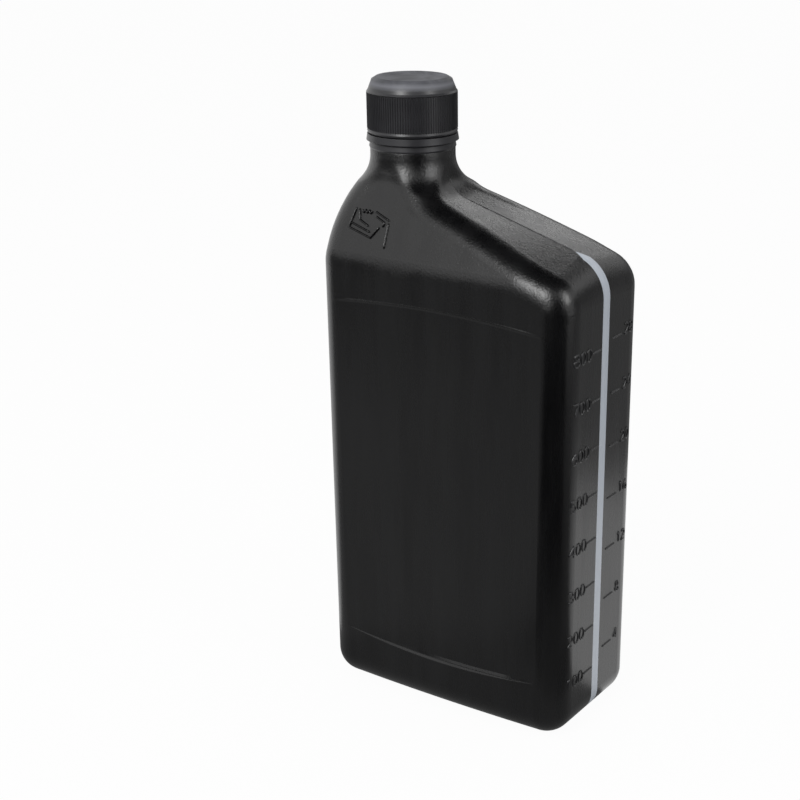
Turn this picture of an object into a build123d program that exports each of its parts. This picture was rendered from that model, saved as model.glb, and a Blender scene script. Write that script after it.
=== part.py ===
from build123d import *
from math import acos, cos, pi, sin
import os

os.makedirs("parts", exist_ok=True)

# Oil bottle with an offset neck, about one litre.
# Origin in the middle of the footprint and +Z up.
# The neck is towards -X, the view stripe on the +X side and the front faces -Y.

# Body
body_width = 107.0
body_depth = 59.0
wall = 1.2
face_crown = 1.4  # how far the front and back bulge over the width
edge_radius = 10.6
shoulder_height = 173.5  # where the front and back start to lean in
shoulder_blend = 14.0

# Sloped shoulder: a shallow ridge along the middle that falls away towards the front and back
corner_rise = 4.2  # top right corner above the shoulder height, on the ridge
corner_drop = 4.6  # how much lower that corner is at the front and back
ridge_corner_radius = 15.0
corner_margin = 0.9  # at the front and back the corner is this much rounder than the edges
slope_rise = 19.1  # foot of the neck above the corner
foot_lift = 2.6  # how much higher that foot is at the front and back
slope_blend = 10.5
left_curve = 42.0  # radius of the left shoulder
left_start = 1.0  # the left shoulder starts this much above the shoulder height
left_blend = 5.0
facet_rise = 29.3  # height of the leaning front and back facets
facet_blend = 15.0

# Neck
neck_from_left = 25.1
neck_radius = 15.55
neck_height = 14.2  # ledge under the tamper band, above the foot of the neck
neck_margin = 0.3  # the squared neck is this much larger than the round one that trims it
flare_rise = 1.0
flare_fall = 14.0  # how far the trimming flare falls over its reach
flare_reach = 130.0
flare_blend = 10.8  # the neck starts to spread this far above the corner that it would meet the flare in
flare_pull = 0.43  # where the spreading curve's handles stand between that corner and its ends

# Label panel and base
panel_step = 0.95  # depth of the flat label panel at the middle
panel_draft = 40.0
panel_foot = 21.3
panel_below_shoulder = 13.0
panel_arch = 3.5
base_recess = 2.2
base_ring = 15.0  # width of the ring that the bottle stands on
base_draft = 45.0

# The inside follows the outside with flats where the outside is rounded
inner_edge_flat = 7.5
inner_base_flat = 7.0
inner_flare_flat = 5.0

# Neck finish
finish_radius = 13.6
finish_height = 20.9
bore_radius = 11.8
bore_taper = 4.5
rim_chamfer = 0.4
bead_reach = 1.15  # retaining bead beyond the finish
bead_start = 2.5
bead_height = 2.1
bead_lead = 0.3
thread_room = 1.1  # depth of the screw thread between neck and cap

# Cap
running_gap = 0.35
cap_wall = 1.0
rib_height = 0.4
rib_count = 108
rib_share = 0.8  # share of the rib pitch that the rib's foot takes
skirt_bead = 1.5
band_gap = 0.3
crown_height = 4.4  # from the ring round its foot to its crest
crown_ledge = 1.1  # smooth strip between the ribs and that ring
crown_ring = 0.5
crown_lean = 1.4  # how far the straight side of the crown leans in
bevel_width = 1.5
bevel_drop = 0.9
dish_depth = 0.6
dish_rim = 3.5
cap_top = 2.4
liner_thickness = 1.0
liner_gap = 0.1

# Tamper band
lip_height = 2.2
band_bead = 0.35
band_lip = 0.3

# View stripe
stripe_width = 4.7
stripe_reach = 13.1  # how far its tip reaches in from the right side
stripe_taper = 4.6

# Worked out
half_width = body_width / 2
half_depth = body_depth / 2
crown_radius = half_width ** 2 / (2 * face_crown)
neck_x = neck_from_left - half_width
neck_half = neck_radius + neck_margin
ridge_corner = shoulder_height + corner_rise
slope_foot = ridge_corner + slope_rise
neck_ledge = slope_foot + neck_height
side_corner_radius = edge_radius + corner_margin
base_radius = edge_radius - neck_margin
past = body_depth  # how far a cutting shape runs past the body

neck_axis = Axis((neck_x, 0, 0), (0, 0, 1))
neck_section = Plane(origin=(neck_x, 0, 0), x_dir=(1, 0, 0), z_dir=(0, -1, 0))


def side_outline(y, inset):
    """Outline of the bottle seen from the front, at a distance y from its middle plane."""
    share = abs(y) / half_depth
    corner_height = ridge_corner - corner_drop * share
    foot_height = slope_foot + foot_lift * share
    corner_round = ridge_corner_radius + (side_corner_radius - ridge_corner_radius) * share
    neck_left = neck_x - neck_half
    turn = acos(1 - (neck_left + half_width) / left_curve)
    left_foot = (-half_width, shoulder_height + left_start)
    left_middle = (
        left_foot[0] + left_curve * (1 - cos(turn / 2)),
        left_foot[1] + left_curve * sin(turn / 2),
    )
    left_top = (neck_left, left_foot[1] + left_curve * sin(turn))
    corner = (half_width, corner_height)
    foot = (neck_x + neck_half, foot_height)
    top = neck_ledge + past
    with BuildSketch(Plane.XZ.offset(-y)) as outline:
        with BuildLine():
            Polyline(
                left_foot,
                (-half_width, -past),
                (half_width, -past),
                corner,
                foot,
                (foot[0], top),
                (neck_left, top),
                left_top,
            )
            ThreePointArc(left_top, left_middle, left_foot)
        make_face()
        fillet(outline.vertices().sort_by_distance(corner)[0], corner_round)
        fillet(outline.vertices().sort_by_distance(foot)[0], slope_blend)
        fillet(outline.vertices().sort_by_distance(left_top)[0], left_blend)
        if inset:
            offset(amount=-inset, kind=Kind.INTERSECTION)
    return outline.sketch


def face_outline(facing, inset):
    """Half outline of the bottle seen from the side, from the far axis that the face curves about."""
    axis_y = facing * (half_depth - crown_radius)
    neck_face = crown_radius - half_depth + neck_half
    shoulder = (crown_radius, shoulder_height)
    foot = (neck_face, shoulder_height + facet_rise)
    plane = Plane(origin=(0, axis_y, 0), x_dir=(0, -facing, 0), z_dir=(-facing, 0, 0))
    with BuildSketch(plane, mode=Mode.PRIVATE) as outline:
        with BuildLine():
            Polyline(
                (0, 0),
                (crown_radius, 0),
                shoulder,
                foot,
                (neck_face, neck_ledge),
                (0, neck_ledge),
                close=True,
            )
        make_face()
        fillet(outline.vertices().sort_by_distance(shoulder)[0], shoulder_blend)
        fillet(outline.vertices().sort_by_distance(foot)[0], facet_blend)
        if inset:
            offset(amount=-inset, kind=Kind.INTERSECTION)
    return outline.sketch


def flare_outline(inset):
    """Half section of the round neck and the flare that it spreads into, with a flat inside."""
    corner = Vector(neck_radius, slope_foot + flare_rise)
    rim = corner + Vector(flare_reach, -flare_fall)
    upward = Vector(0, inner_flare_flat if inset else flare_blend)
    outward = (rim - corner).normalized() * upward.length
    with BuildSketch(neck_section, mode=Mode.PRIVATE) as outline:
        with BuildLine():
            Polyline(
                corner + outward,
                rim,
                (rim.X, -past),
                (-neck_radius, -past),
                (-neck_radius, neck_ledge),
                (neck_radius, neck_ledge),
                corner + upward,
            )
            if inset:
                Line(corner + upward, corner + outward)
            else:
                Bezier(
                    corner + upward,
                    corner + upward * flare_pull,
                    corner + outward * flare_pull,
                    corner + outward,
                )
        make_face()
        if inset:
            offset(amount=-inset, kind=Kind.INTERSECTION)
        split(bisect_by=Plane.YZ, keep=Keep.TOP)
    return outline.sketch


def panel_outline(y):
    """Label panel with an arched top and a sagging foot, wider than the flat that it leaves."""
    panel_top = shoulder_height - panel_below_shoulder
    side = half_width
    with BuildSketch(Plane.XZ.offset(-y), mode=Mode.PRIVATE) as outline:
        with BuildLine():
            ThreePointArc((-side, panel_top - panel_arch), (0, panel_top), (side, panel_top - panel_arch))
            Line((side, panel_top - panel_arch), (side, panel_foot + panel_arch))
            ThreePointArc((side, panel_foot + panel_arch), (0, panel_foot), (-side, panel_foot + panel_arch))
            Line((-side, panel_foot + panel_arch), (-side, panel_top - panel_arch))
        make_face()
    return outline.sketch


def bottle_form(inset):
    """The outside of the blown bottle, or its inside when it is inset by the wall."""
    reach = half_depth + wall
    with BuildPart() as form:
        for y in (-reach, reach):
            loft([side_outline(0, inset), side_outline(y, inset)], ruled=True)
        for facing in (-1, 1):
            face_axis = Axis((0, facing * (half_depth - crown_radius), 0), (0, 0, 1))
            revolve(face_outline(facing, inset), axis=face_axis, mode=Mode.INTERSECT)
        # The climbing edges where the sides and the slope meet the front and back
        climbing = form.edges().filter_by(lambda edge: abs((edge @ 1).Z - (edge @ 0).Z) > wall / 2)
        corners = climbing.filter_by(lambda edge: min(abs((edge @ 0).Y), abs((edge @ 1).Y)) > stripe_width)
        if inset:
            chamfer(corners, inner_edge_flat)
        else:
            fillet(corners, edge_radius)
        revolve(flare_outline(inset), axis=neck_axis, mode=Mode.INTERSECT)
        base_edges = form.faces().sort_by(Axis.Z)[0].edges()
        if inset:
            chamfer(base_edges, inner_base_flat)
        else:
            fillet(base_edges, base_radius)
        for facing in (-1, 1):
            panel_y = facing * (half_depth - panel_step - inset)
            extrude(
                panel_outline(panel_y),
                amount=-facing * (panel_step + inset + wall),
                taper=-panel_draft,
                mode=Mode.SUBTRACT,
            )
        with BuildSketch(Plane.XY.offset(base_recess + inset), mode=Mode.PRIVATE) as recess:
            recess_width = body_width - 2 * (base_ring + edge_radius) + 2 * inset
            Rectangle(recess_width, body_depth - 2 * base_ring + 2 * inset)
        extrude(recess.sketch, amount=-base_recess - inset, taper=-base_draft, mode=Mode.SUBTRACT)
    return form.part


outer_form = bottle_form(0)
inner_form = bottle_form(wall)

# The strip of the wall that is left clear, seen from above: pointed at its inner end
with BuildPart() as stripe_field:
    with BuildSketch(Plane.XY.offset(-past)):
        with BuildLine():
            Polyline(
                (half_width - stripe_reach, 0),
                (half_width - stripe_reach + stripe_taper, -stripe_width / 2),
                (half_width + past, -stripe_width / 2),
                (half_width + past, stripe_width / 2),
                (half_width - stripe_reach + stripe_taper, stripe_width / 2),
                close=True,
            )
        make_face()
    extrude(amount=neck_ledge + 2 * past)

# Blown bottle with its neck finish
rim = neck_ledge + finish_height
bead_radius = finish_radius + bead_reach
with BuildPart() as bottle_body:
    add(outer_form)
    with BuildSketch(neck_section):
        with BuildLine():
            Polyline(
                (0, slope_foot),
                (finish_radius, slope_foot),
                (finish_radius, neck_ledge + bead_start),
                (bead_radius, neck_ledge + bead_start + bead_lead),
                (finish_radius, neck_ledge + bead_start + bead_height),
                (finish_radius, rim - rim_chamfer),
                (finish_radius - rim_chamfer, rim),
                (0, rim),
                close=True,
            )
        make_face()
    revolve(axis=neck_axis)
    add(inner_form, mode=Mode.SUBTRACT)
    with BuildSketch(neck_section):
        with BuildLine():
            Polyline(
                (0, neck_ledge - bore_taper),
                (neck_radius - wall, neck_ledge - bore_taper),
                (bore_radius, neck_ledge),
                (bore_radius, rim + wall),
                (0, rim + wall),
                close=True,
            )
        make_face()
    revolve(axis=neck_axis, mode=Mode.SUBTRACT)
    add(stripe_field.part, mode=Mode.SUBTRACT)

# Clear stripe of the same wall
with BuildPart() as view_stripe:
    add(outer_form)
    add(inner_form, mode=Mode.SUBTRACT)
    add(stripe_field.part, mode=Mode.INTERSECT)

# Ring left on the neck, with its folded lip under the retaining bead
band_top = neck_ledge + bead_start + bead_height + wall / 2
band_radius = finish_radius + thread_room + 2 * running_gap + cap_wall + rib_height
band_inner = bead_radius + band_gap
with BuildPart() as tamper_band:
    with BuildSketch(neck_section):
        with BuildLine():
            Polyline(
                (finish_radius + running_gap, neck_ledge),
                (neck_radius, neck_ledge),
                (neck_radius + band_lip, neck_ledge + 2 * band_lip),
                (neck_radius, neck_ledge + lip_height),
                (band_radius, neck_ledge + lip_height + 2 * band_bead),
                (band_radius - band_bead, band_top),
                (band_inner, band_top),
                (band_inner, neck_ledge + lip_height),
                (finish_radius + running_gap, neck_ledge + lip_height),
                close=True,
            )
        make_face()
    revolve(axis=neck_axis)

# Screw cap
cap_bore = finish_radius + thread_room + running_gap
cap_root = cap_bore + cap_wall
cap_radius = cap_root + rib_height
skirt = band_top + band_gap
liner_foot = rim + liner_gap
ceiling = liner_foot + liner_thickness
cap_crest = ceiling + cap_top + dish_depth
crown_foot = cap_crest - crown_height
crest_radius = cap_radius - crown_ring - crown_lean - bevel_width
with BuildPart() as cap:
    with BuildSketch(neck_section):
        with BuildLine():
            Polyline(
                (0, ceiling),
                (cap_bore, ceiling),
                (cap_bore, skirt),
                (cap_root, skirt),
                (cap_radius, skirt + skirt_bead / 2),
                (cap_root, skirt + skirt_bead),
                (cap_root, crown_foot - crown_ledge),
                (cap_radius, crown_foot - crown_ledge + rib_height),
                (cap_radius - crown_ring, crown_foot),
                (crest_radius + bevel_width, cap_crest - bevel_drop),
                (crest_radius, cap_crest),
                (crest_radius - dish_rim, cap_crest - dish_depth),
                (0, cap_crest - dish_depth),
                close=True,
            )
        make_face()
    revolve(axis=neck_axis)
    rib_pitch = 2 * pi * cap_root / rib_count
    with BuildSketch(Plane.XY.offset(skirt + skirt_bead)) as ribs:
        with Locations((neck_x, 0)):
            with PolarLocations(cap_root, rib_count):
                Polygon(
                    (-rib_height, -rib_pitch * rib_share / 2),
                    (rib_height, 0),
                    (-rib_height, rib_pitch * rib_share / 2),
                    align=None,
                )
    extrude(amount=crown_foot - crown_ledge - skirt - skirt_bead)

# Liner pressed up into the cap
with BuildPart() as cap_liner:
    with BuildSketch(Plane.XY.offset(liner_foot)):
        with Locations((neck_x, 0)):
            Circle(cap_bore - cap_wall - liner_gap)
    extrude(amount=liner_thickness)

for name, piece in (
    ("bottle_body", bottle_body),
    ("view_stripe", view_stripe),
    ("tamper_band", tamper_band),
    ("cap", cap),
    ("cap_liner", cap_liner),
):
    piece.part.label = name
    export_step(piece.part, f"parts/{name}.step")
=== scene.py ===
# %% [markdown]
# # Oil bottle: the looks
# The real thing is a one litre bottle for engine oil. It is blown from black polyethylene with one clear
# stripe down a narrow side, so that the level shows, and closed by a ribbed polypropylene screw cap over
# a tamper band. The imported CAD part is the frame of this scene. It already holds every form that has a
# size, so these cells add what comes from the mould and the material: the raised scales beside the
# stripe, the raised pouring sign on the shoulder, the screw threads under the cap, the parting lines, and
# the skin of each plastic.
#
# Everything is in metres, with the origin in the middle of the footprint, +Z up, the neck towards -X and
# the front towards -Y.

# %% Load the imported part and keep its meshes where they stand
import math

import bmesh
import bpy
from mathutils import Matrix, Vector
from mathutils.bvhtree import BVHTree


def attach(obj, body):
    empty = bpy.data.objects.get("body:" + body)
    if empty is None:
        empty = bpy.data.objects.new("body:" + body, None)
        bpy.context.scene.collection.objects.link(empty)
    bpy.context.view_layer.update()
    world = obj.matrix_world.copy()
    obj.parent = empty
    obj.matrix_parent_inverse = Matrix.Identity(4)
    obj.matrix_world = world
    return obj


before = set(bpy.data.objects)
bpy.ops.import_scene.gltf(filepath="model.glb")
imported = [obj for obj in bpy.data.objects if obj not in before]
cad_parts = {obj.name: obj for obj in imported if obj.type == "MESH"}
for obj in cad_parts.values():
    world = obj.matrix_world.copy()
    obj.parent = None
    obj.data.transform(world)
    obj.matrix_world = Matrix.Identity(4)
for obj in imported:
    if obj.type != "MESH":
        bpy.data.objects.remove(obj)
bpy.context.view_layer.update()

# %% [markdown]
# ## Sizes that the later cells share
# The marks sit on known faces of the bottle, so their places are written from the bottle's own sizes. The
# scales were read against the stripe: 100 ml is 18.12 mm of height, and an imperial fluid ounce is
# 28.4131 ml, which gives the steps of the second scale.

# %% Sizes in metres
MM = 0.001
SIDE_X = 53.5 * MM  # the narrow side that carries the stripe
STRIPE_HALF = 2.35 * MM
NECK_X = -28.4 * MM
NECK_LEDGE = 211.0 * MM
ML_STEP = 18.12 * MM  # height of 100 ml
ML_ZERO = 3.95 * MM
OUNCE_ML = 28.4131
OUNCE_ZERO = 6.74 * MM
print("top mark of the left scale", round((ML_ZERO + 8 * ML_STEP) / MM, 1), "mm")


# %% [markdown]
# ## Helpers
# Colours are written as the screen shows them and go through one function to linear light. One more
# function adds a shader node with its settings and links, so that a material reads as a list of steps.

# %% Colour and node helpers
def linear(code):
    """Linear RGBA of an sRGB hex colour."""
    channels = [int(code[place:place + 2], 16) / 255 for place in (1, 3, 5)]
    return (*[c / 12.92 if c <= 0.04045 else ((c + 0.055) / 1.055) ** 2.4 for c in channels], 1.0)


def add(tree, kind, settings=None, **inputs):
    """Adds a node of one kind. Settings are its properties; inputs are values or other nodes' sockets."""
    node = tree.nodes.new(kind)
    for name, value in (settings or {}).items():
        setattr(node, name, value)
    for name, value in inputs.items():
        key = int(name[1:]) if name[1:].isdigit() else name.replace("_", " ")
        socket = node.inputs[key]
        if isinstance(value, bpy.types.NodeSocket):
            tree.links.new(value, socket)
        else:
            socket.default_value = value
    return node


def new_material(name):
    """An empty node material and its tree."""
    material = bpy.data.materials.new(name)
    material.use_nodes = True
    material.node_tree.nodes.clear()
    return material, material.node_tree


# %% [markdown]
# ## Black polyethylene, blown in a blasted mould
# The wall is high-density polyethylene with about two per cent of carbon black, so next to nothing of its
# look comes from inside: it is the skin. The parison slides over the die's lips as it comes down, which
# draws faint lines along the height, a millimetre or two apart. Air then presses it against a mould that
# was blasted with grit, which makes the gloss satin, most on the shoulder, where nothing is stuck on. That
# grain is about a quarter of a millimetre; it is drawn three times as coarse here, because a finer one is
# lost between pixels. Broad streaks of bloom run down with the flow.
#
# Blown plastic also never fills a sharp corner of its mould, so a Bevel node rounds the shading over each
# edge of the wall, most where the neck spreads into the shoulder. The label panel sags a little as it
# cools: its foot folds softly over on the right, and a faint lip follows its arched top. Both are drawn as
# bumps along the two arcs.
#
# The raised marks are too small to be rounded so, and each kind gets a skin of its own. The scales are
# painted a little greyer than the wall, a painted highlight for the light on their raised strokes, and the
# sign high on the shoulder stays as black as the wall.

# %% Sag of the label panel
PANEL_ARCH = 3.5 * MM  # how far the panel's top and foot bow over the whole width
PANEL_FOOT = 21.2 * MM
PANEL_TOP = 160.5 * MM
FOLD_WIDTH = 1.4 * MM
FOLD_RISE = 0.95 * MM
FOLD_GROWS = (-24.0 * MM, 8.0 * MM)  # from the left to the right, where the fold begins and is full
FOLD_FADES = (28.0 * MM, 42.0 * MM)
LIP_WIDTH = 0.9 * MM
LIP_RISE = 0.1 * MM
LIP_FADES = (36.8 * MM, 46.0 * MM)  # on both sides of the middle


def sagged_panel(tree, across, height, normal):
    """The normal with a soft fold along the panel's foot and a faint lip along its top."""
    bend = PANEL_ARCH / SIDE_X ** 2
    square = add(tree, "ShaderNodeMath", {"operation": "MULTIPLY"}, i0=across, i1=across)
    above_foot = add(tree, "ShaderNodeMath", {"operation": "MULTIPLY_ADD"},
                     i0=square.outputs[0], i1=-bend, i2=height)
    fold = add(tree, "ShaderNodeMapRange", Value=above_foot.outputs[0],
               From_Min=PANEL_FOOT, From_Max=PANEL_FOOT + FOLD_WIDTH, To_Min=1.0, To_Max=0.0)
    right = add(tree, "ShaderNodeMapRange", {"interpolation_type": "SMOOTHSTEP"}, Value=across,
                From_Min=FOLD_GROWS[0], From_Max=FOLD_GROWS[1])
    inner = add(tree, "ShaderNodeMapRange", {"interpolation_type": "SMOOTHSTEP"}, Value=across,
                From_Min=FOLD_FADES[0], From_Max=FOLD_FADES[1], To_Min=1.0, To_Max=0.0)
    share = add(tree, "ShaderNodeMath", {"operation": "MULTIPLY"}, i0=right.outputs[0], i1=inner.outputs[0])
    sag = add(tree, "ShaderNodeMath", {"operation": "MULTIPLY"}, i0=fold.outputs[0], i1=share.outputs[0])
    foot = add(tree, "ShaderNodeBump", Strength=1.0, Distance=FOLD_RISE, Height=sag.outputs[0],
               Normal=normal)
    below_top = add(tree, "ShaderNodeMath", {"operation": "MULTIPLY_ADD"},
                    i0=square.outputs[0], i1=bend, i2=height)
    wave = add(tree, "ShaderNodeMapRange", Value=below_top.outputs[0], From_Min=PANEL_TOP - LIP_WIDTH,
               From_Max=PANEL_TOP + LIP_WIDTH, To_Min=-math.pi, To_Max=math.pi)
    crest = add(tree, "ShaderNodeMath", {"operation": "COSINE"}, i0=wave.outputs[0])
    inside = add(tree, "ShaderNodeMapRange", Value=square.outputs[0],
                 From_Min=LIP_FADES[0] ** 2, From_Max=LIP_FADES[1] ** 2, To_Min=1.0, To_Max=0.0)
    lip = add(tree, "ShaderNodeMath", {"operation": "MULTIPLY"}, i0=crest.outputs[0], i1=inside.outputs[0])
    top = add(tree, "ShaderNodeBump", Strength=1.0, Distance=LIP_RISE, Height=lip.outputs[0],
              Normal=foot.outputs[0])
    return top.outputs[0]


# %% Rounded edges of the wall
EDGE_ROUND = 0.2 * MM
SPREAD_ROUND = 3.6 * MM
SPREAD_FOOT = 186.0 * MM  # where the wider round begins, under the neck
SPREAD_FULL = 192.0 * MM
SPREAD_END = NECK_LEDGE - 2.0 * MM
BEVEL_SAMPLES = 6


def rounded_wall(tree, height):
    """The normal of a wall whose edges are round, most where the neck spreads into the shoulder."""
    spread = add(tree, "ShaderNodeMapRange", Value=height, From_Min=SPREAD_FOOT, From_Max=SPREAD_FULL,
                 To_Min=EDGE_ROUND, To_Max=SPREAD_ROUND)
    finish = add(tree, "ShaderNodeMapRange", Value=height, From_Min=SPREAD_END, From_Max=NECK_LEDGE,
                 To_Min=SPREAD_ROUND, To_Max=EDGE_ROUND)
    radius = add(tree, "ShaderNodeMath", {"operation": "MINIMUM"},
                 i0=spread.outputs[0], i1=finish.outputs[0])
    rounded = add(tree, "ShaderNodeBevel", {"samples": BEVEL_SAMPLES}, Radius=radius.outputs[0])
    return rounded.outputs[0]


# %% Material of the bottle's wall and its marks
WALL_CARBON = "#060607"
WALL_BLOOM = "#101011"
# The marks' two greys are lighter than the wall: a painted highlight for the light on raised strokes.
MARK_BLACK = "#1a1a1b"
MARK_SHEEN_PALE = "#2b2b2d"
HDPE_IOR = 1.54
BLASTED_GRAIN = 0.8 * MM
BLASTED_DEPTH = 0.1 * MM
BLASTED_FROM = 152.0 * MM  # the grain is faint under this height and full above the next
BLASTED_FULL = 166.0 * MM
FAINT_GRAIN = 0.3
DIE_LINE = 1.6 * MM
DIE_LINE_DEPTH = 0.03 * MM
DIE_LINE_WANDER = 6.0  # changes of a line in one metre of height
STREAK_WIDTH = 9.0 * MM
STREAK_WANDER = 14.0
SATIN = 0.20  # roughness of the clean skin
BLOOMED = 0.27  # roughness under the bloom
LINED = 0.08  # what the die lines add to it


def blown_black_wall(name, dark, pale, rounds_edges):
    """A skin between a dark and a pale colour. Rounded edges come with the sag of the label panel."""
    material, tree = new_material(name)
    place = add(tree, "ShaderNodeTexCoord").outputs["Object"]
    spot = add(tree, "ShaderNodeSeparateXYZ", Vector=place)
    height = spot.outputs[2]
    # Both kinds of line are noise stretched along the height, so they run as long vertical streaks
    along = add(tree, "ShaderNodeMapping", Vector=place, Scale=(1 / DIE_LINE, 1 / DIE_LINE, DIE_LINE_WANDER))
    lines = add(tree, "ShaderNodeTexNoise", Vector=along.outputs[0], Scale=1.0, Detail=3.0, Roughness=0.6)
    broad = add(tree, "ShaderNodeMapping", Vector=place,
                Scale=(1 / STREAK_WIDTH, 1 / STREAK_WIDTH, STREAK_WANDER))
    streaks = add(tree, "ShaderNodeTexNoise", Vector=broad.outputs[0], Scale=1.0, Detail=4.0, Roughness=0.6)
    patchy = add(tree, "ShaderNodeMapRange", Value=streaks.outputs[0], From_Min=0.3, From_Max=0.7)
    bloom = add(tree, "ShaderNodeMix", {"data_type": "RGBA"}, Factor=patchy.outputs[0],
                A=linear(dark), B=linear(pale))
    skin = add(tree, "ShaderNodeMapRange", Value=patchy.outputs[0], To_Min=SATIN, To_Max=BLOOMED)
    gloss = add(tree, "ShaderNodeMath", {"operation": "MULTIPLY_ADD"},
                i0=lines.outputs[0], i1=LINED, i2=skin.outputs[0])
    line_bump = add(tree, "ShaderNodeBump", Strength=0.4, Distance=DIE_LINE_DEPTH, Height=lines.outputs[0])
    if rounds_edges:
        folded = sagged_panel(tree, spot.outputs[0], height, rounded_wall(tree, height))
        tree.links.new(folded, line_bump.inputs["Normal"])
    grain = add(tree, "ShaderNodeTexNoise", Vector=place, Scale=1 / BLASTED_GRAIN, Detail=3.0, Roughness=0.6)
    blasting = add(tree, "ShaderNodeMapRange", Value=height, From_Min=BLASTED_FROM, From_Max=BLASTED_FULL,
                   To_Min=FAINT_GRAIN, To_Max=1.0)
    grain_bump = add(tree, "ShaderNodeBump", Strength=blasting.outputs[0], Distance=BLASTED_DEPTH,
                     Height=grain.outputs[0], Normal=line_bump.outputs[0])
    plastic = add(tree, "ShaderNodeBsdfPrincipled", Base_Color=bloom.outputs[2],
                  Roughness=gloss.outputs[0], IOR=HDPE_IOR, Normal=grain_bump.outputs[0])
    add(tree, "ShaderNodeOutputMaterial", Surface=plastic.outputs[0])
    return material


# %% [markdown]
# ## The clear stripe
# The stripe is the same polyethylene without carbon, run into the parison beside the black. It isn't clear
# like glass: its crystals scatter light, so it looks like pale wax with a soft, slightly blue grey. A glass
# shader would show the far wall through it. A pale base with a share of scattering under the skin gives the
# waxy look, and noise stretched along the height gives the faint lines in which the plastic flowed.

# %% Material of the stripe
STRIPE_WAX = "#b4bac2"
STRIPE_SHADE = "#9fa6af"
FLOW_LINE = 2.0 * MM  # distance between two flow lines across the stripe
FLOW_WANDER = 14.0  # changes of a line in one metre of height
WAX_DEPTH = 1.2 * MM  # how deep light goes in before it is scattered back


def natural_stripe():
    """The pale wax of the stripe, with faint lines of flow along it."""
    material, tree = new_material("natural_hdpe_stripe")
    place = add(tree, "ShaderNodeTexCoord").outputs["Object"]
    along = add(tree, "ShaderNodeMapping", Vector=place, Scale=(1.0, 1 / FLOW_LINE, FLOW_WANDER))
    flow = add(tree, "ShaderNodeTexNoise", Vector=along.outputs[0], Scale=1.0, Detail=3.0, Roughness=0.5)
    tone = add(tree, "ShaderNodeMix", {"data_type": "RGBA"}, Factor=flow.outputs[0],
               A=linear(STRIPE_SHADE), B=linear(STRIPE_WAX))
    ripple = add(tree, "ShaderNodeBump", Strength=0.3, Distance=0.03 * MM, Height=flow.outputs[0])
    wax = add(tree, "ShaderNodeBsdfPrincipled", Base_Color=tone.outputs[2], Roughness=0.38, IOR=HDPE_IOR,
              Subsurface_Weight=0.25, Subsurface_Radius=(1.0, 1.0, 1.0), Subsurface_Scale=WAX_DEPTH,
              Normal=ripple.outputs[0])
    add(tree, "ShaderNodeOutputMaterial", Surface=wax.outputs[0])
    return material


# %% [markdown]
# ## Black polypropylene of the cap and the band
# The cap is injected into a finely etched steel mould, so its skirt is even and duller than the bottle. Its
# crown is painted a greyer colour, a painted sheen for the gloss that the light above lays on it, and it is
# nearly matt, with faint swirls of that painted sheen on its flat. Crown and skirt could be two materials on
# two sets of faces. One material that finds the crown by its height leaves the mesh as it is and lets the
# painted sheen fade in. The crown's edge is shaded with a wider round than the ribs. The etching is far too
# fine to show, so it is drawn half a millimetre wide.

# %% Material of the closure
CAP_BLACK = "#202022"
CAP_CLOUD = "#2f2f32"
# The crown's two greys are a painted sheen: the crown is painted lighter for the gloss of the light above
# it.
CROWN_SHEEN_PALE = "#66676d"
CROWN_SHEEN_DIM = "#35363a"
CROWN_FOOT = 232.4 * MM
CROWN_EDGE = 234.0 * MM
CROWN_FLAT = 235.2 * MM
CROWN_ROUND = 1.6 * MM
RIB_ROUND = 0.12 * MM
ETCHED_GRAIN = 0.5 * MM
ETCHED_DEPTH = 0.02 * MM
CLOUDS = 120.0  # soft patches in one metre, some eight millimetres wide
SWIRLS = 50.0  # swirls of the painted sheen in one metre, some two centimetres wide
MATT = 0.22  # what the etching adds to the crown's roughness
PP_IOR = 1.49


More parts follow.
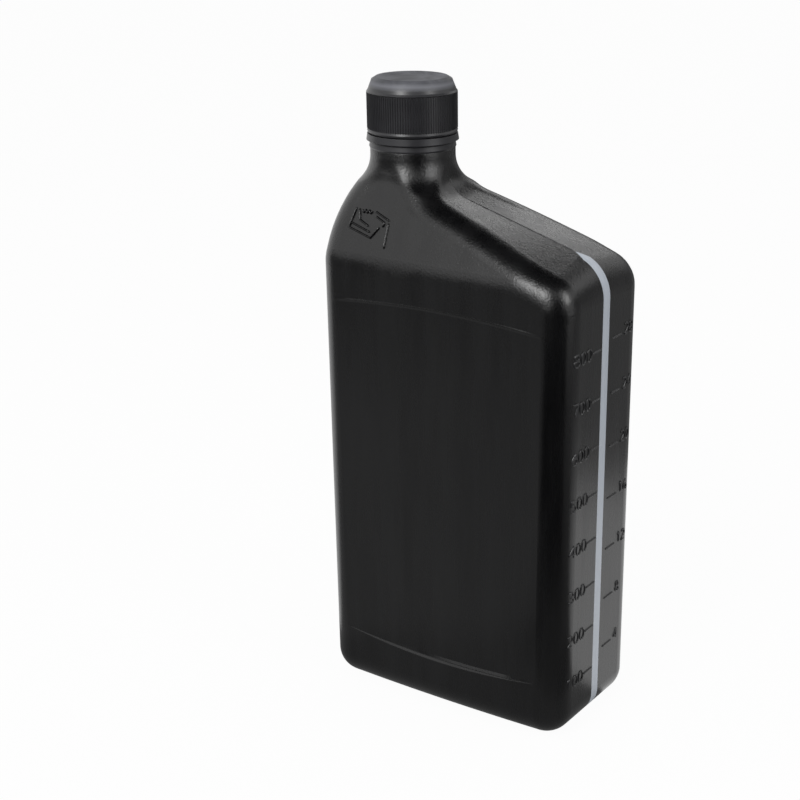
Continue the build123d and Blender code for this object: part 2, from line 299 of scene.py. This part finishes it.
def moulded_black_cap():
    """Fine black skirt under an etched crown, painted greyer as a sheen."""
    material, tree = new_material("moulded_black_pp")
    place = add(tree, "ShaderNodeTexCoord").outputs["Object"]
    etch = add(tree, "ShaderNodeTexNoise", Vector=place, Scale=1 / ETCHED_GRAIN, Detail=2.0, Roughness=0.5)
    cloud = add(tree, "ShaderNodeTexNoise", Vector=place, Scale=CLOUDS, Detail=3.0, Roughness=0.5)
    swirl = add(tree, "ShaderNodeTexNoise", Vector=place, Scale=SWIRLS, Detail=2.0, Roughness=0.4,
                Distortion=2.5)
    height = add(tree, "ShaderNodeSeparateXYZ", Vector=place).outputs[2]
    crown = add(tree, "ShaderNodeMapRange", Value=height, From_Min=CROWN_FOOT, From_Max=CROWN_EDGE)
    unswirled = add(tree, "ShaderNodeMapRange", Value=height, From_Min=CROWN_EDGE, From_Max=CROWN_FLAT,
               To_Min=1.0, To_Max=0.0)
    sheen_swirl = add(tree, "ShaderNodeMapRange", Value=swirl.outputs[0], From_Min=0.25, From_Max=0.75,
                 To_Min=unswirled.outputs[0], To_Max=1.0)
    tone = add(tree, "ShaderNodeMix", {"data_type": "RGBA"}, Factor=cloud.outputs[0],
               A=linear(CAP_BLACK), B=linear(CAP_CLOUD))
    # Painted sheen: the crown's lighter grey, with swirls of it on the flat.
    painted_sheen = add(tree, "ShaderNodeMix", {"data_type": "RGBA"}, Factor=sheen_swirl.outputs[0],
               A=linear(CROWN_SHEEN_DIM), B=linear(CROWN_SHEEN_PALE))
    skin = add(tree, "ShaderNodeMix", {"data_type": "RGBA"}, Factor=crown.outputs[0],
               A=tone.outputs[2], B=painted_sheen.outputs[2])
    gloss = add(tree, "ShaderNodeMapRange", Value=cloud.outputs[0],
                From_Min=0.3, From_Max=0.7, To_Min=0.32, To_Max=0.38)
    matt = add(tree, "ShaderNodeMath", {"operation": "MULTIPLY_ADD"},
               i0=crown.outputs[0], i1=MATT, i2=gloss.outputs[0])
    radius = add(tree, "ShaderNodeMapRange", Value=crown.outputs[0], To_Min=RIB_ROUND, To_Max=CROWN_ROUND)
    rounded = add(tree, "ShaderNodeBevel", {"samples": BEVEL_SAMPLES}, Radius=radius.outputs[0])
    bump = add(tree, "ShaderNodeBump", Strength=0.4, Distance=ETCHED_DEPTH, Height=etch.outputs[0],
               Normal=rounded.outputs[0])
    shell = add(tree, "ShaderNodeBsdfPrincipled", Base_Color=skin.outputs[2], Roughness=matt.outputs[0],
                IOR=PP_IOR, Normal=bump.outputs[0])
    add(tree, "ShaderNodeOutputMaterial", Surface=shell.outputs[0])
    return material


# %% [markdown]
# ## The liner
# The liner is a disc of foamed polyethylene, pale, matt and finely pitted. A Voronoi pattern with a pit in
# each cell is nearer to foam than noise is, because foam is a pack of cells with thin walls between them.

# %% Material of the liner
LINER_FOAM = "#c9c9c4"
LINER_CELL = "#b6b6b1"
FOAM_CELL = 0.4 * MM
FOAM_PIT = 0.05 * MM


def foam_liner():
    """Pale foam with a pit in each cell."""
    material, tree = new_material("foamed_pe_liner")
    place = add(tree, "ShaderNodeTexCoord").outputs["Object"]
    cells = add(tree, "ShaderNodeTexVoronoi", Vector=place, Scale=1 / FOAM_CELL)
    tone = add(tree, "ShaderNodeMix", {"data_type": "RGBA"}, Factor=cells.outputs[0],
               A=linear(LINER_CELL), B=linear(LINER_FOAM))
    pits = add(tree, "ShaderNodeBump", Strength=0.4, Distance=FOAM_PIT, Height=cells.outputs[0])
    foam = add(tree, "ShaderNodeBsdfPrincipled", Base_Color=tone.outputs[2], Roughness=0.7, IOR=1.5,
               Normal=pits.outputs[0])
    add(tree, "ShaderNodeOutputMaterial", Surface=foam.outputs[0])
    return material


# %% Give each CAD node its plastic
WALL = blown_black_wall("blown_black_hdpe", WALL_CARBON, WALL_BLOOM, True)
# The scales, threads and parting lines get the greyer black: a painted highlight on their ridges.
RIDGE = blown_black_wall("sheen_painted_black_hdpe", MARK_BLACK, MARK_SHEEN_PALE, False)
STAMP = blown_black_wall("deep_black_hdpe", WALL_CARBON, WALL_BLOOM, False)
CLOSURE = moulded_black_cap()
FINISHES = {
    "bottle_body": WALL,
    "view_stripe": natural_stripe(),
    "tamper_band": CLOSURE,
    "cap": CLOSURE,
    "cap_liner": foam_liner(),
}
for node, finish in FINISHES.items():
    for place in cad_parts[node].material_slots:
        place.material = finish
    print(node, "gets", finish.name)

# %% [markdown]
# ## Raised lines
# Every mark on the bottle is a groove cut into the mould, which the plastic fills to a low rounded ridge.
# It could be a bump in the material, but then it would be missing from the mesh. So a mark is drawn flat, as
# runs of points, and each point is dropped on the bottle along one direction. The ridge's section then sits
# on the surface's own normal, with its two feet a little under the skin, so it follows the bottle's rounds.

# %% Meshes and pieces
def finished_mesh(name, shape, finish):
    """Turns a closed bmesh into a mesh with one finish."""
    bmesh.ops.recalc_face_normals(shape, faces=shape.faces)
    mesh = bpy.data.meshes.new(name)
    shape.to_mesh(mesh)
    shape.free()
    mesh.materials.append(finish)
    return mesh


def in_scene(name, data):
    """An object with this mesh, lamp or camera, linked into the scene."""
    thing = bpy.data.objects.new(name, data)
    bpy.context.collection.objects.link(thing)
    return thing


# %% Search tree over the skin that the marks grow from
def skin_of(*nodes):
    """A search tree over the meshes of some CAD nodes."""
    verts, faces = [], []
    for name in nodes:
        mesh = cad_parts[name].data
        start = len(verts)
        verts.extend(vertex.co.copy() for vertex in mesh.vertices)
        faces.extend([start + index for index in polygon.vertices] for polygon in mesh.polygons)
    print("skin of", *nodes, "has", len(faces), "faces")
    return BVHTree.FromPolygons(verts, faces)


WALL_SKIN = skin_of("bottle_body", "view_stripe")

# %% Drop flat drawings on the bottle as ridges
RIDGE_STEP = 0.5 * MM
RIDGE_TIP = 0.35  # size of a ridge's two ends, as a share of its middle
SECTION = [(-0.5, -0.25), (-0.5, 0.1), (-0.34, 0.62), (0.0, 1.0), (0.34, 0.62), (0.5, 0.1), (0.5, -0.25)]


def even(points, step):
    """The same run with points no further apart than the step."""
    run = [Vector(points[0])]
    for first, last in zip(points, points[1:]):
        first, last = Vector(first), Vector(last)
        parts = max(1, math.ceil((last - first).length / step))
        run.extend(first.lerp(last, part / parts) for part in range(1, parts + 1))
    return run


def dropped(flat, drop):
    """Where the points of a flat run meet the skin, and the skin's outward normal there."""
    hits = []
    for point in even(flat, RIDGE_STEP):
        start, direction = drop(point)
        spot, normal, _, _ = WALL_SKIN.ray_cast(start, direction)
        if spot is not None:
            hits.append((spot, normal if normal.dot(direction) < 0 else -normal))
    return hits


def ridge_rings(hits, width, height):
    """The ridge's section at each hit, across the run. Its two feet stay at the same depth."""
    rings = []
    for index, (spot, normal) in enumerate(hits):
        before = hits[max(index - 1, 0)][0]
        after = hits[min(index + 1, len(hits) - 1)][0]
        across = (after - before).cross(normal).normalized()
        size = RIDGE_TIP if index in (0, len(hits) - 1) else 1.0
        ring = []
        for u, v in SECTION:
            rise = v * height * (size if v > 0 else 1)
            ring.append(spot + across * (u * width * size) + normal * rise)
        rings.append(ring)
    return rings


def raised(name, runs, drop, finish, width, height):
    """One piece of raised ridges. Drop turns a flat point into a start and a direction for its fall."""
    ridge = bmesh.new()
    for flat in runs:
        hits = dropped(flat, drop)
        rings = [[ridge.verts.new(point) for point in ring] for ring in ridge_rings(hits, width, height)]
        for ring, following in zip(rings, rings[1:]):
            for low in range(len(SECTION) - 1):
                ridge.faces.new((ring[low], ring[low + 1], following[low + 1], following[low]))
        if rings:
            ridge.faces.new(rings[0])
            ridge.faces.new(reversed(rings[-1]))
    mesh = finished_mesh(name, ridge, finish)
    for polygon in mesh.polygons:
        polygon.use_smooth = True
    piece = in_scene(name, mesh)
    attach(piece, "bottle")
    print(name, len(runs), "ridges,", len(mesh.polygons), "faces")


# %% [markdown]
# ## The two scales
# A scale's figures are cut with one engraving stencil, so a digit is a few straight and round strokes of
# one width. Each digit is drawn in a box one wide and one high, and set beside its tick.

# %% Digits as strokes
def arc(centre, radii, start, end, parts=10):
    """Points on an ellipse between two angles in degrees."""
    turns = [math.radians(start + (end - start) * part / parts) for part in range(parts + 1)]
    return [(centre[0] + radii[0] * math.cos(turn), centre[1] + radii[1] * math.sin(turn)) for turn in turns]


DIGITS = {
    "0": [arc((0.5, 0.5), (0.5, 0.5), 90, 450, 16)],
    "1": [[(0.15, 0.75), (0.5, 1.0), (0.5, 0.0)]],
    "2": [arc((0.5, 0.7), (0.45, 0.3), 160, -30) + [(0.05, 0.0), (0.95, 0.0)]],
    "3": [arc((0.45, 0.75), (0.42, 0.25), 150, -90) + arc((0.45, 0.25), (0.48, 0.25), 90, -150)],
    "4": [[(0.75, 0.0), (0.75, 1.0), (0.0, 0.3), (1.0, 0.3)]],
    "5": [[(0.9, 1.0), (0.2, 1.0), (0.12, 0.55)] + arc((0.47, 0.32), (0.46, 0.32), 120, -150)],
    "6": [[(0.75, 1.0), (0.2, 0.55)] + arc((0.5, 0.3), (0.45, 0.3), 150, 510, 16)],
    "7": [[(0.05, 1.0), (0.95, 1.0), (0.35, 0.0)]],
    "8": [arc((0.5, 0.75), (0.38, 0.25), 90, 450, 14), arc((0.5, 0.25), (0.48, 0.25), 90, 450, 14)],
}


def figures(text, left, low, width, height, pitch):
    """Strokes of a number whose first digit starts at left, low."""
    runs = []
    for place, digit in enumerate(text):
        for stroke in DIGITS[digit]:
            runs.append([(left + place * pitch + u * width, low + v * height) for u, v in stroke])
    return runs


# %% Millilitres left of the stripe and ounces right of it
MARK_WIDTH = 0.75 * MM
MARK_HEIGHT = 0.42 * MM
RIGHT_OF_ALL = SIDE_X + 5 * MM


def onto_side(point):
    """The scales fall on the narrow side from the right."""
    return Vector((RIGHT_OF_ALL, point[0], point[1])), Vector((-1, 0, 0))


def ruled_scale(name, marks, tick, left, below, width, height, pitch):
    """A tick and a number for each mark. Left and below place the first digit by the middle and the tick."""
    runs = []
    for text, level in marks:
        runs.append([(tick[0], level), (tick[1], level)])
        runs.extend(figures(text, left, level - below, width, height, pitch))
    raised(name, [[(*point, 0) for point in run] for run in runs], onto_side, RIDGE, MARK_WIDTH, MARK_HEIGHT)


ML_MARKS = [(f"{hundred}00", ML_ZERO + hundred * ML_STEP) for hundred in range(1, 9)]
OUNCE_MARKS = [(str(ounces), OUNCE_ZERO + ounces * OUNCE_ML / 100 * ML_STEP) for ounces in range(4, 29, 4)]
ruled_scale("millilitre_scale", ML_MARKS, tick=(-STRIPE_HALF - 0.3 * MM, -9.3 * MM),
            left=-21.2 * MM, below=2.1 * MM, width=3.0 * MM, height=4.4 * MM, pitch=4.1 * MM)
ruled_scale("ounce_scale", OUNCE_MARKS, tick=(4.9 * MM, 12.0 * MM),
            left=13.9 * MM, below=0.7 * MM, width=2.5 * MM, height=4.0 * MM, pitch=3.4 * MM)


# %% [markdown]
# ## The pouring sign
# A bottle with an offset neck pours with the neck on top, so its maker cuts a small sign into the mould of
# the shoulder: a tipped container and the stream that leaves it. This one is a plain generic sign, drawn on
# the front in millimetres from the middle and from the floor.

# %% Tipped container with its stream, raised on the front shoulder
AHEAD_OF_ALL = -40 * MM
SIGN_WIDTH = 0.8 * MM
SIGN_HEIGHT = 0.8 * MM


def onto_front(point):
    """The sign falls on the front from ahead."""
    return Vector((point[0], AHEAD_OF_ALL, point[1])), Vector((0, 1, 0))


SIGN = {
    "container": [(-38.8, 191.2), (-40.4, 184.4), (-29.9, 182.0), (-26.8, 185.9)],
    "foot": [(-39.7, 186.0), (-30.6, 183.8)],
    "oil": [(-37.4, 191.0), (-36.2, 187.3), (-31.7, 185.6)],
    "waves": [(-36.0, 190.8), (-35.3, 189.9), (-34.5, 190.8), (-33.7, 189.9), (-32.9, 190.8), (-32.1, 189.9),
              (-31.3, 190.7)],
    "spout_top": [(-30.2, 190.8), (-23.2, 188.4)],
    "spout_foot": [(-29.6, 189.3), (-25.0, 187.5), (-25.6, 186.0)],
    "stream": [(-23.3, 187.6), (-22.9, 179.2)],
}
raised("pouring_sign", [[(x * MM, z * MM, 0) for x, z in run] for run in SIGN.values()], onto_front, STAMP,
       SIGN_WIDTH, SIGN_HEIGHT)

# %% [markdown]
# ## The screw thread
# The closure has one right-hand thread of 4 mm pitch: the bottle's is blown and then sized in the neck
# finish, and the cap's stands inside its skirt, half a pitch away, so the two mesh without touching. Each
# is a low trapezoid whose ends run out over thirty degrees, as the mould's cutter leaves them. A Screw
# modifier could sweep it too. Here the sections are set one by one, so that the ends can fade.

# %% Thread ridges on the neck and in the cap
THREAD_PITCH = 4.0 * MM
THREAD_DEPTH = 1.1 * MM
THREAD_ROOT = 0.2 * MM  # how far the feet lie under the wall
THREAD_FOOT = 1.0 * MM  # half width at the wall
THREAD_CREST = 0.5 * MM  # half width at the top
THREAD_STEPS = 72  # sections in one turn
THREAD_FADE = 6  # sections over which each end runs out


def thread(name, body, finish, radius, side, start, turns):
    """A right-hand thread on the neck's axis. Side is 1 to stand outward and -1 to stand inward."""
    section = [(-THREAD_ROOT, -THREAD_FOOT), (THREAD_DEPTH, -THREAD_CREST),
               (THREAD_DEPTH, THREAD_CREST), (-THREAD_ROOT, THREAD_FOOT)]
    ridge = bmesh.new()
    rings = []
    count = round(turns * THREAD_STEPS)
    for step in range(count + 1):
        turn = 2 * math.pi * step / THREAD_STEPS
        fade = min(1.0, (min(step, count - step) + 1) / THREAD_FADE)
        ring = []
        for rise, width in section:
            reach = radius + side * (rise * fade if rise > 0 else rise)
            ring.append(ridge.verts.new((NECK_X + reach * math.cos(turn), reach * math.sin(turn),
                                         start + THREAD_PITCH * turn / (2 * math.pi) + width * fade)))
        rings.append(ring)
    for ring, following in zip(rings, rings[1:]):
        for low in range(len(section)):
            high = (low + 1) % len(section)
            ridge.faces.new((ring[low], ring[high], following[high], following[low]))
    ridge.faces.new(rings[0])
    ridge.faces.new(reversed(rings[-1]))
    mesh = finished_mesh(name, ridge, finish)
    piece = in_scene(name, mesh)
    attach(piece, body)
    print(name, "turns", turns, "faces", len(mesh.polygons))


NECK_FINISH = 13.6 * MM
CAP_BORE = 15.05 * MM
THREAD_START = NECK_LEDGE + 8.0 * MM
thread("neck_thread", "bottle", RIDGE, NECK_FINISH, 1, THREAD_START, 2.0)
thread("cap_thread", "cap", CLOSURE, CAP_BORE, -1, THREAD_START + THREAD_PITCH / 2, 1.5)

# %% [markdown]
# ## The parting line
# The two halves of the mould meet on the middle plane. They pinch the parison shut over the shoulder, which
# leaves a thin line that wanders a little from the neck down the slope, and a finer one down the left side.

# %% Fine line over the slope
ABOVE_ALL = 260 * MM
SEAM_START = -12  # millimetres from the middle, at the right of the neck's spread
SEAM_PITCH = 0.8  # millimetres from point to point
SEAM_POINTS = 65
SEAM_WANDER = 0.05  # millimetres to each side
SEAM_WAVE = 1.3  # radians of the wander in one millimetre
SEAM_WIDTH = 0.45 * MM
SEAM_HEIGHT = 0.16 * MM


def onto_slope(point):
    """The line falls on the slope from above."""
    return Vector((point[0], point[1], ABOVE_ALL)), Vector((0, 0, -1))


seam = [step * SEAM_PITCH + SEAM_START for step in range(SEAM_POINTS)]
raised("slope_parting_line", [[(x * MM, SEAM_WANDER * math.sin(x * SEAM_WAVE) * MM, 0) for x in seam]],
       onto_slope, RIDGE, SEAM_WIDTH, SEAM_HEIGHT)

# %% Finer line down the left side
LEFT_OF_ALL = -60 * MM
SIDE_SEAM = (9.0 * MM, 196.0 * MM)  # from the foot to the round of the shoulder
SIDE_SEAM_WIDTH = 0.35 * MM
SIDE_SEAM_HEIGHT = 0.10 * MM


def onto_left(point):
    """The left line falls on the bottle from the left."""
    return Vector((LEFT_OF_ALL, point[0], point[1])), Vector((1, 0, 0))


raised("side_parting_line", [[(0.0, height, 0) for height in SIDE_SEAM]], onto_left, RIDGE,
       SIDE_SEAM_WIDTH, SIDE_SEAM_HEIGHT)

# %% [markdown]
# ## Floor, cards and light
# The bottle stands on a plain pale sweep in a white room. The room is white to the camera and to gloss, and
# a little greyer as a light, so that colours show about as they are written. A black satin thing has no
# form of its own in a white room, because its gloss is all it has. So a photographer lays black and grey
# cards round it, stands some up and hangs one over it, and the dark bands that run down its rounded edges
# are those cards. They are seen in gloss alone here, so the picture and the floor keep their own light.

# %% Light Path switch
def seen_directly(tree):
    """1 for camera, glossy and transmission rays, and 0 for the rays that carry light between surfaces."""
    rays = add(tree, "ShaderNodeLightPath").outputs
    seen = rays["Is Camera Ray"]
    for name in ("Is Glossy Ray", "Is Transmission Ray"):
        seen = add(tree, "ShaderNodeMath", {"operation": "ADD", "use_clamp": True},
                   i0=seen, i1=rays[name]).outputs[0]
    return seen


# %% Floor
FLOOR_REACH = 4.0
FLOOR_GLOW = 0.96  # share of the seen floor that is plain white, the rest keeps the bottle's shadow
PAPER_GREY = "#dcdcdc"
PAPER_PALE = "#e2e2e2"
PAPER_FIBRES = 900.0  # fibres in one metre, each about a millimetre wide
CORNERS = ((-1, -1), (1, -1), (1, 1), (-1, 1))
floor_mesh = bpy.data.meshes.new("floor")
floor_mesh.from_pydata([(x * FLOOR_REACH, y * FLOOR_REACH, 0) for x, y in CORNERS], [], [(0, 1, 2, 3)])
floor = in_scene("floor", floor_mesh)
paper, tree = new_material("pale_paper")
fibre = add(tree, "ShaderNodeTexNoise", Scale=PAPER_FIBRES, Detail=2.0)
tone = add(tree, "ShaderNodeMix", {"data_type": "RGBA"}, Factor=fibre.outputs[0],
           A=linear(PAPER_GREY), B=linear(PAPER_PALE))
sheet = add(tree, "ShaderNodeBsdfDiffuse", Color=tone.outputs[2])
glow = add(tree, "ShaderNodeEmission", Color=(1, 1, 1, 1), Strength=1.0)
share = add(tree, "ShaderNodeMath", {"operation": "MULTIPLY"}, i0=seen_directly(tree), i1=FLOOR_GLOW)
blend = add(tree, "ShaderNodeMixShader", Fac=share.outputs[0], i1=sheet.outputs[0], i2=glow.outputs[0])
add(tree, "ShaderNodeOutputMaterial", Surface=blend.outputs[0])
floor_mesh.materials.append(paper)
print("floor of", 2 * FLOOR_REACH, "m")

# %% World
ROOM_LIGHT = 0.6
world = bpy.data.worlds.new("white_room")
bpy.context.scene.world = world
world.use_nodes = True
tree = world.node_tree
tree.nodes.clear()
level = add(tree, "ShaderNodeMapRange", Value=seen_directly(tree), To_Min=ROOM_LIGHT, To_Max=1.0)
room = add(tree, "ShaderNodeBackground", Color=(1, 1, 1, 1), Strength=level.outputs[0])
add(tree, "ShaderNodeOutputWorld", Surface=room.outputs[0])
print("room lights at", ROOM_LIGHT, "and is seen at 1.0")


# %% Cards
HOVER = 0.001  # height of a card that lies on the floor
NEAR = 0.085
MIDDLE = 0.17
FAR = 0.6
CARD_FACET = 5  # degrees of heading that one flat of a card spans


def card(name, tone, start, end, rings):
    """A card round the bottle, between two headings in degrees. Rings are radius and height pairs."""
    steps = max(2, round((end - start) / CARD_FACET))
    corners, faces = [], []
    for step in range(steps + 1):
        heading = math.radians(start + (end - start) * step / steps)
        for radius, height in rings:
            corners.append((radius * math.sin(heading), -radius * math.cos(heading), height))
    for step in range(steps):
        for ring in range(len(rings) - 1):
            low = step * len(rings) + ring
            faces.append((low, low + 1, low + 1 + len(rings), low + len(rings)))
    mesh = bpy.data.meshes.new(name)
    mesh.from_pydata(corners, [], faces)
    piece = in_scene(name, mesh)
    piece.visible_camera = False
    piece.visible_diffuse = False
    piece.visible_transmission = False
    piece.visible_shadow = False
    board, tree = new_material(name)
    flat = add(tree, "ShaderNodeEmission", Color=linear(tone), Strength=1.0)
    add(tree, "ShaderNodeOutputMaterial", Surface=flat.outputs[0])
    mesh.materials.append(board)
    print(name, "spans", start, "to", end, "degrees")


# %% Cards that lie, stand and hang round the bottle
card("grey_card_near", "#828282", -100, 105, [(0.002, HOVER), (NEAR, HOVER)])
card("grey_card_middle", "#5c5c5c", -4, 105, [(NEAR, HOVER), (MIDDLE, HOVER)])
card("black_card_front", "#101010", -4, 78, [(MIDDLE, HOVER), (FAR, HOVER), (FAR, 0.17)])
card("black_card_lens", "#000000", 22, 66, [(0.5, 0.15), (0.5, 0.56)])
card("grey_card_right", "#5a5a5a", 78, 105, [(MIDDLE, HOVER), (FAR, HOVER)])
card("grey_card_left", "#989898", -75, -4, [(NEAR, HOVER), (0.5, HOVER)])
card("dark_card_left", "#747474", -75, -4, [(0.5, HOVER), (0.5, 0.26)])
card("grey_card_back", "#8c8c8c", 105, 185, [(0.26, HOVER), (FAR, HOVER), (FAR, 0.12)])
card("dark_card_back", "#303030", 185, 222, [(0.25, HOVER), (FAR, HOVER), (FAR, 0.12)])
card("grey_card_rear", "#808080", 105, 225, [(FAR, 0.12), (FAR, 0.38)])
card("dark_card_rear", "#202020", 120, 250, [(FAR, 0.64), (FAR, 0.84)])
card("black_card_above", "#000000", 0, 360, [(0.0, 0.75), (0.5, 0.75)])


# %% Lamps
LAMP_AIM = Vector((0, 0, 0.18))
LAMP_DISTANCE = 0.9


def bearing(heading, height):
    """Unit vector out at a heading, where 0 is the front, and a height. Both are angles in radians."""
    return Vector((math.sin(heading) * math.cos(height),
                   -math.cos(heading) * math.cos(height),
                   math.sin(height)))


def soft_box(name, heading, height, width, tall, radiance):
    """A soft lamp that faces the shoulder. Angles are in degrees, radiance is what its face shows."""
    lamp = bpy.data.lights.new(name, "AREA")
    lamp.shape = "RECTANGLE"
    lamp.size = width
    lamp.size_y = tall
    lamp.energy = radiance * math.pi * width * tall
    towards = bearing(math.radians(heading), math.radians(height))
    stand = in_scene(name, lamp)
    stand.location = LAMP_AIM + towards * LAMP_DISTANCE
    stand.rotation_euler = towards.to_track_quat("Z", "Y").to_euler()
    print(name, "at", [round(value, 2) for value in stand.location], "m")


soft_box("soft_box_left", 0, 38, 0.28, 0.42, 11.0)
soft_box("soft_box_right", 86, 30, 0.20, 0.40, 7.0)
soft_box("soft_box_back", -165, 26, 0.25, 0.14, 1.7)

# %% [markdown]
# ## Camera
# The photograph looks down at the bottle from its front right: 33 degrees round and 23 degrees down, from
# 0.6 m. These come from a fit of the bottle's own corners, scale marks and outline.

# %% Camera
AZIMUTH = math.radians(33.179)
ELEVATION = math.radians(22.628)
DISTANCE = 0.60546
TARGET = Vector((0, 0, 0.0835))
lens = bpy.data.cameras.new("camera")
lens.sensor_width = 36.0
lens.lens = 70.69
lens.shift_x = -0.0979
lens.shift_y = 0.1082
camera = in_scene("camera", lens)
forward = -bearing(AZIMUTH, ELEVATION)
camera.location = TARGET - forward * DISTANCE
camera.rotation_mode = "QUATERNION"
camera.rotation_quaternion = forward.to_track_quat("-Z", "Y")
bpy.context.scene.camera = camera
bpy.context.scene.view_settings.view_transform = "Standard"
print("camera at", [round(value / MM, 1) for value in camera.location])
